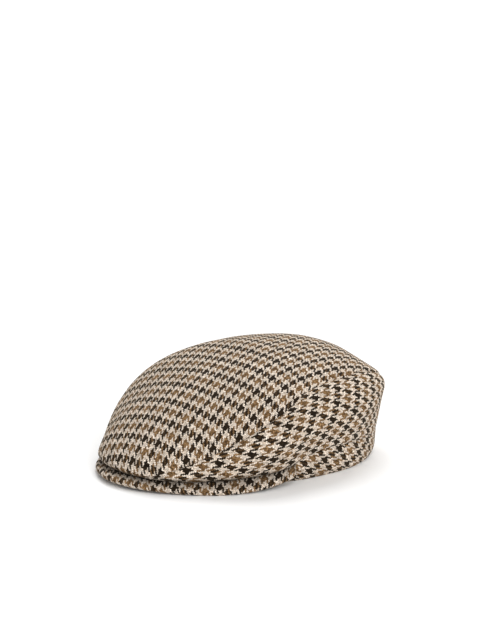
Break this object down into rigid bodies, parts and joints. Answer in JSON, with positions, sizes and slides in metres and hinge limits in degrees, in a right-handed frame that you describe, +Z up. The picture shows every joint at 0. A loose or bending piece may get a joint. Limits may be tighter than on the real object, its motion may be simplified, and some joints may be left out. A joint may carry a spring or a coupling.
{
  "type": "flat cap",
  "caption": "Soft wool flat cap with a rounded crown that leans forward over a short stiff peak, and a band round the open head hollow.",
  "frame": {"origin": "middle of the cap's footprint, on the surface that the band rests on", "axes": "+Z up, the peak toward -Y, +X the wearer's left side"},
  "size_m": [0.2016, 0.2607, 0.097],
  "materials": {
    "top_cloth": "wool twill in a cream, black and brown gun-club check",
    "side_cloth": "the same wool check, turned to run along the side",
    "band_cloth": "the same wool check, cut on the bias",
    "peak_cloth": "the same wool check over a stiff core"
  },
  "bodies": {
    "root": {"top_panel": "top_cloth", "side_panel_left": "side_cloth", "side_panel_right": "side_cloth", "band": "band_cloth", "peak": "peak_cloth"}
  },
  "joints": []
}
